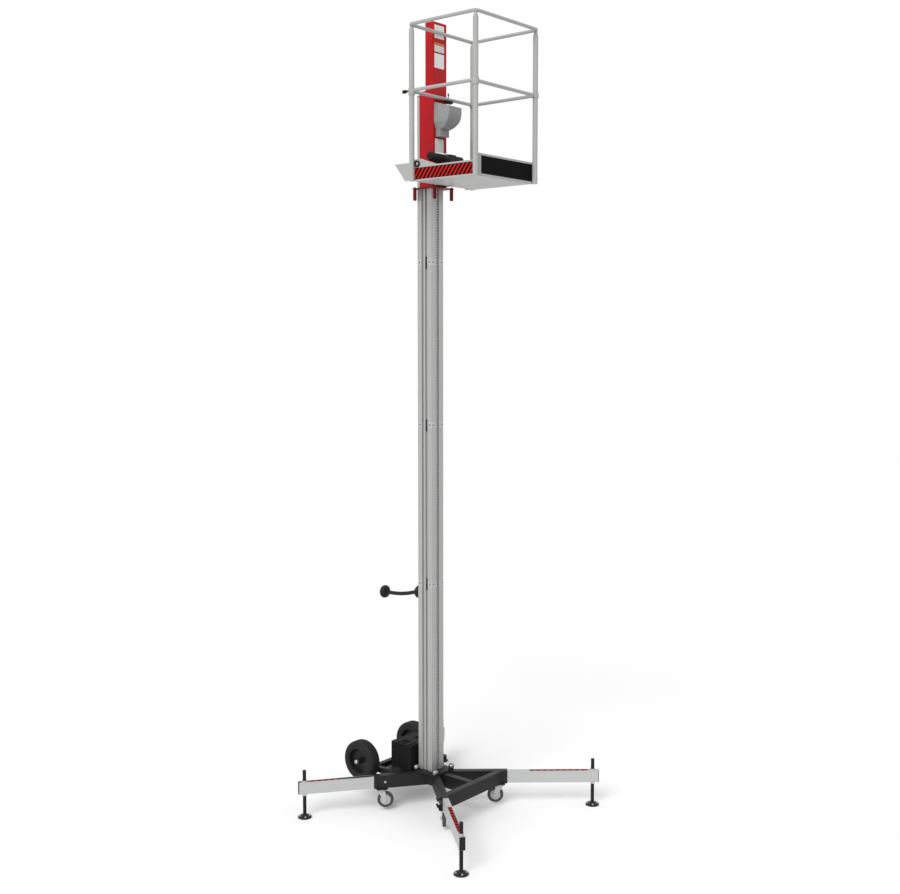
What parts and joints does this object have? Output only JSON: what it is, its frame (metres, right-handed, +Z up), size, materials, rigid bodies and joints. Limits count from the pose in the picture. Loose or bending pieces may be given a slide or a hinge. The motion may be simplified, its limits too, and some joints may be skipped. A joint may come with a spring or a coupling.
{
  "type": "vertical mast lift",
  "caption": "Self-climbing work platform on a sectional aluminium mast, with telescopic outrigger legs, screw jacks, casters and transport wheels.",
  "frame": {"origin": "middle of the four foot pads, on the ground", "axes": "+Z up the mast, -Y to the front where the platform is, X across"},
  "size_m": [1.725, 1.647, 5.945],
  "materials": {
    "black_steel": "satin",
    "red_steel": "satin",
    "grey_paint": "satin",
    "mast_aluminium": "satin",
    "leg_aluminium": "satin",
    "zinc_steel": "satin",
    "domed_steel": "gloss",
    "black_plastic": "matte",
    "pad_plastic": "matte",
    "tyre_rubber": "matte",
    "grey_rubber": "matte"
  },
  "bodies": {
    "base": {"hub_plate": "black_steel", "docking_domes": "domed_steel", "arm_front_left": "black_steel", "arm_front_right": "black_steel", "arm_rear_left": "black_steel", "arm_rear_right": "black_steel", "cross_beam": "black_steel", "wheel_frame": "black_steel", "caster_plates": "black_steel", "battery_shelf": "black_steel", "battery_box": "black_plastic", "mast_section_1": "mast_aluminium", "mast_section_2": "mast_aluminium", "mast_section_3": "mast_aluminium", "mast_section_4": "mast_aluminium", "mast_cap": "black_plastic", "mast_rack": "zinc_steel", "mast_latches": "black_plastic", "tilt_handle": "black_plastic", "lock_knobs": "black_plastic"},
    "carriage": {"climbing_column": "red_steel", "bottom_flange": "red_steel", "guide_pads": "pad_plastic", "drive_cover": "grey_paint", "platform_floor": "grey_paint", "toe_boards": "grey_paint", "corner_posts": "grey_paint", "top_rail": "grey_paint", "mid_rails": "grey_paint", "ring_latch": "black_plastic", "tail_plates": "grey_paint", "platform_controls": "black_plastic", "power_pack": "black_plastic"},
    "entry_bar_body": {"entry_bar": "grey_paint", "bar_plunger": "black_plastic"},
    "outrigger_front_left": {"leg_front_left": "leg_aluminium", "leg_cap_front_left": "black_plastic"},
    "screw_jack_front_left": {"jack_front_left": "black_steel"},
    "swivel_front_left": {"fork_front_left": "zinc_steel"},
    "caster_wheel_front_left": {"caster_front_left": "grey_rubber"},
    "outrigger_front_right": {"leg_front_right": "leg_aluminium", "leg_cap_front_right": "black_plastic"},
    "screw_jack_front_right": {"jack_front_right": "black_steel"},
    "swivel_front_right": {"fork_front_right": "zinc_steel"},
    "caster_wheel_front_right": {"caster_front_right": "grey_rubber"},
    "outrigger_rear_left": {"leg_rear_left": "leg_aluminium", "leg_cap_rear_left": "black_plastic"},
    "screw_jack_rear_left": {"jack_rear_left": "black_steel"},
    "swivel_rear_left": {"fork_rear_left": "zinc_steel"},
    "caster_wheel_rear_left": {"caster_rear_left": "grey_rubber"},
    "outrigger_rear_right": {"leg_rear_right": "leg_aluminium", "leg_cap_rear_right": "black_plastic"},
    "screw_jack_rear_right": {"jack_rear_right": "black_steel"},
    "swivel_rear_right": {"fork_rear_right": "zinc_steel"},
    "caster_wheel_rear_right": {"caster_rear_right": "grey_rubber"},
    "transport_wheel_left": {"tyre_left": "tyre_rubber", "rim_left": "black_steel"},
    "transport_wheel_right": {"tyre_right": "tyre_rubber", "rim_right": "black_steel"}
  },
  "joints": [
    {"name": "climb", "type": "slide", "parent": "base", "child": "carriage", "axis": [0, 0, 1], "range_m": [-4.3, 0]},
    {"name": "entry_bar_lift", "type": "slide", "parent": "carriage", "child": "entry_bar_body", "axis": [0, 0, 1], "range_m": [0, 0.36]},
    {"name": "extend_front_left", "type": "slide", "parent": "base", "child": "outrigger_front_left", "axis": [-0.6532, -0.7572, 0], "range_m": [-0.25, 0]},
    {"name": "jack_lift_front_left", "type": "slide", "parent": "outrigger_front_left", "child": "screw_jack_front_left", "axis": [0, 0, 1], "range_m": [-0.05, 0.12]},
    {"name": "swivel_turn_front_left", "type": "hinge", "parent": "base", "child": "swivel_front_left", "pos_m": [-0.33312, -0.21817, 0.165], "axis": [0, 0, 1], "continuous": true},
    {"name": "caster_roll_front_left", "type": "hinge", "parent": "swivel_front_left", "child": "caster_wheel_front_left", "pos_m": [-0.31014, -0.19889, 0.09], "axis": [-0.6428, 0.766, 0], "continuous": true},
    {"name": "extend_front_right", "type": "slide", "parent": "base", "child": "outrigger_front_right", "axis": [0.6532, -0.7572, 0], "range_m": [-0.25, 0]},
    {"name": "jack_lift_front_right", "type": "slide", "parent": "outrigger_front_right", "child": "screw_jack_front_right", "axis": [0, 0, 1], "range_m": [-0.05, 0.12]},
    {"name": "swivel_turn_front_right", "type": "hinge", "parent": "base", "child": "swivel_front_right", "pos_m": [0.33312, -0.21817, 0.165], "axis": [0, 0, 1], "continuous": true},
    {"name": "caster_roll_front_right", "type": "hinge", "parent": "swivel_front_right", "child": "caster_wheel_front_right", "pos_m": [0.31384, -0.19519, 0.09], "axis": [-0.766, -0.6428, 0], "continuous": true},
    {"name": "extend_rear_left", "type": "slide", "parent": "base", "child": "outrigger_rear_left", "axis": [-0.8021, 0.5971, 0], "range_m": [-0.2, 0]},
    {"name": "jack_lift_rear_left", "type": "slide", "parent": "outrigger_rear_left", "child": "screw_jack_rear_left", "axis": [0, 0, 1], "range_m": [-0.05, 0.12]},
    {"name": "swivel_turn_rear_left", "type": "hinge", "parent": "base", "child": "swivel_rear_left", "pos_m": [-0.33289, 0.41581, 0.165], "axis": [0, 0, 1], "continuous": true},
    {"name": "caster_roll_rear_left", "type": "hinge", "parent": "swivel_rear_left", "child": "caster_wheel_rear_left", "pos_m": [-0.3136, 0.39283, 0.09], "axis": [0.766, 0.6428, 0], "continuous": true},
    {"name": "extend_rear_right", "type": "slide", "parent": "base", "child": "outrigger_rear_right", "axis": [0.8021, 0.5971, 0], "range_m": [-0.2, 0]},
    {"name": "jack_lift_rear_right", "type": "slide", "parent": "outrigger_rear_right", "child": "screw_jack_rear_right", "axis": [0, 0, 1], "range_m": [-0.05, 0.12]},
    {"name": "swivel_turn_rear_right", "type": "hinge", "parent": "base", "child": "swivel_rear_right", "pos_m": [0.33289, 0.41581, 0.165], "axis": [0, 0, 1], "continuous": true},
    {"name": "caster_roll_rear_right", "type": "hinge", "parent": "swivel_rear_right", "child": "caster_wheel_rear_right", "pos_m": [0.3136, 0.4388, 0.09], "axis": [-0.766, -0.6428, 0], "continuous": true},
    {"name": "transport_roll_left", "type": "hinge", "parent": "base", "child": "transport_wheel_left", "pos_m": [-0.303, 0.651, 0.341], "axis": [1, 0, 0], "continuous": true},
    {"name": "transport_roll_right", "type": "hinge", "parent": "base", "child": "transport_wheel_right", "pos_m": [0.303, 0.651, 0.341], "axis": [1, 0, 0], "continuous": true}
  ]
}
